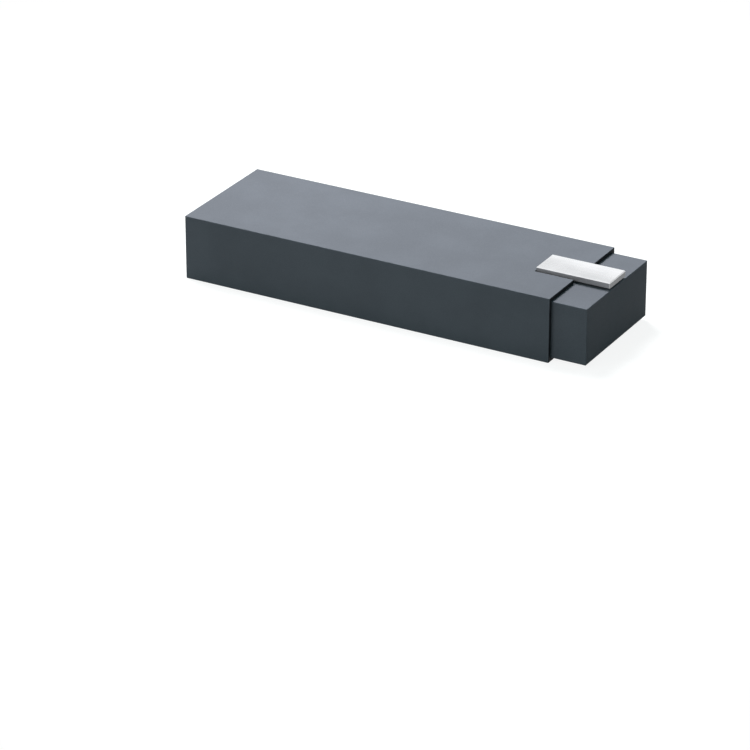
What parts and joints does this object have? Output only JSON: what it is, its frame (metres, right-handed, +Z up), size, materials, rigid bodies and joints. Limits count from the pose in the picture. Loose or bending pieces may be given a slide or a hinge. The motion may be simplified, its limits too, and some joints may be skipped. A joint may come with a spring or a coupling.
{
  "type": "sliding pen box",
  "caption": "Rigid board pen box: a tray with a velvet pen bed slides out of an open-ended sleeve, and a metal plate on its head seats in the sleeve's notch.",
  "frame": {"origin": "under the middle of the closed box, on the surface that it lies on", "axes": "+X along the box towards the tray's head and plate, +Y to the left, +Z up"},
  "size_m": [0.188, 0.0592, 0.0303],
  "materials": {
    "grey_board": "matte",
    "cover_paper": "matte",
    "lining_paper": "matte",
    "bed_foam": "matte",
    "bed_velvet": "matte",
    "foam_tape": "matte",
    "brushed_metal": "satin"
  },
  "bodies": {
    "sleeve": {"sleeve_top_board": "grey_board", "sleeve_bottom_board": "grey_board", "sleeve_left_board": "grey_board", "sleeve_right_board": "grey_board", "sleeve_cover_paper": "cover_paper", "sleeve_base_paper": "cover_paper", "sleeve_lining_paper": "lining_paper"},
    "tray": {"tray_base_board": "grey_board", "tray_left_wall": "grey_board", "tray_right_wall": "grey_board", "tray_rear_wall": "grey_board", "tray_front_wall": "grey_board", "head_partition": "grey_board", "head_top_board": "grey_board", "tray_cover_paper": "cover_paper", "tray_base_paper": "cover_paper", "head_cover_paper": "cover_paper", "tray_lining_paper": "lining_paper", "pen_bed_foam": "bed_foam", "pen_bed_velvet": "bed_velvet", "plate_tape": "foam_tape", "metal_plate": "brushed_metal"}
  },
  "joints": [
    {"name": "tray_slide", "type": "slide", "parent": "sleeve", "child": "tray", "axis": [1, 0, 0], "range_m": [0, 0.19]}
  ]
}
